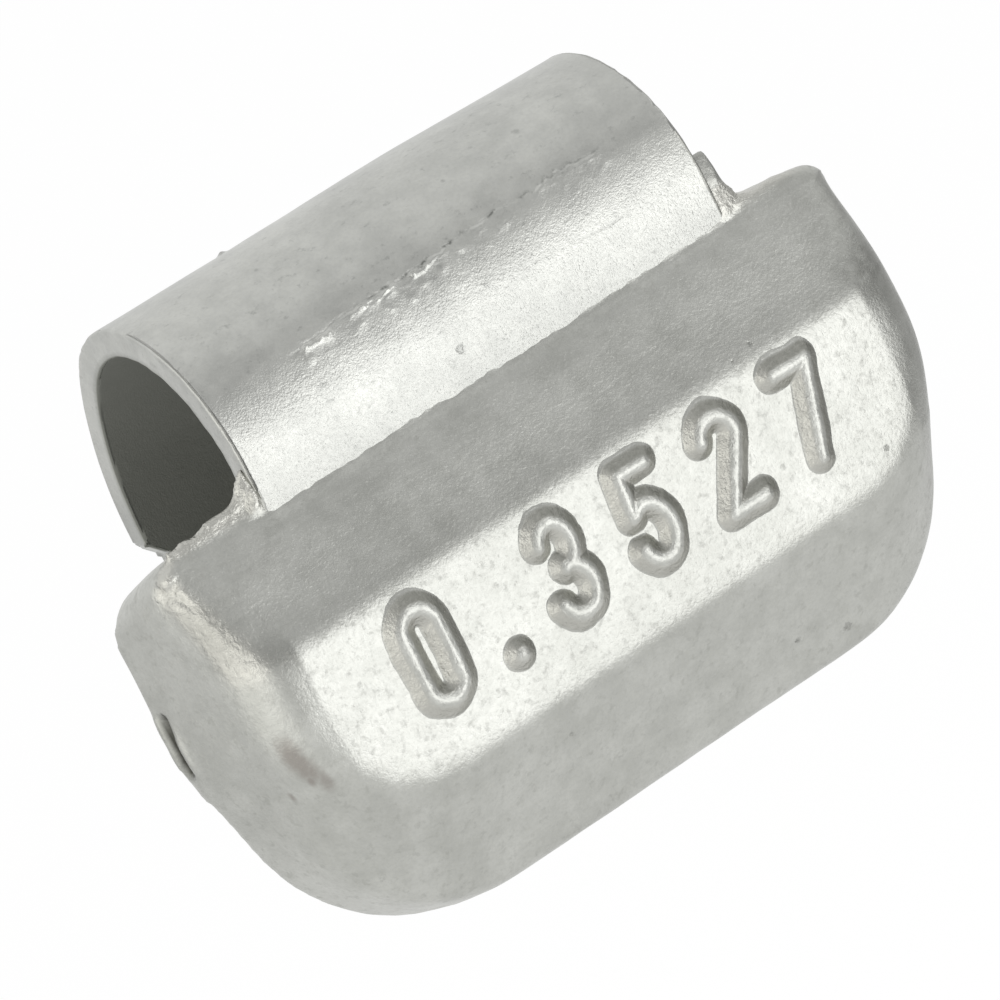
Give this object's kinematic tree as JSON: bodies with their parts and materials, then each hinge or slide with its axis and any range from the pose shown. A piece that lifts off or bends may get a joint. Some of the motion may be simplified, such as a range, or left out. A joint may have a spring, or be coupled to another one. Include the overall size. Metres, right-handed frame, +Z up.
{
  "type": "clip-on wheel balance weight",
  "caption": "Cast zinc wheel balance weight with a sprung steel clip that arches over the edge of a wheel's rim.",
  "frame": {"origin": "axis of the clip's arch, midway along the clip", "axes": "+X along the rim, -Y is the marked front face, +Z up, from the body towards the rim's edge"},
  "size_m": [0.0251, 0.0114, 0.0187],
  "materials": {
    "zinc": "as-cast zinc, fine grain, matt silver grey",
    "spring_steel": "zinc-plated spring strip, dull silver, lightly scuffed"
  },
  "bodies": {
    "root": {"weight_body": "zinc", "clip": "spring_steel"}
  },
  "joints": []
}
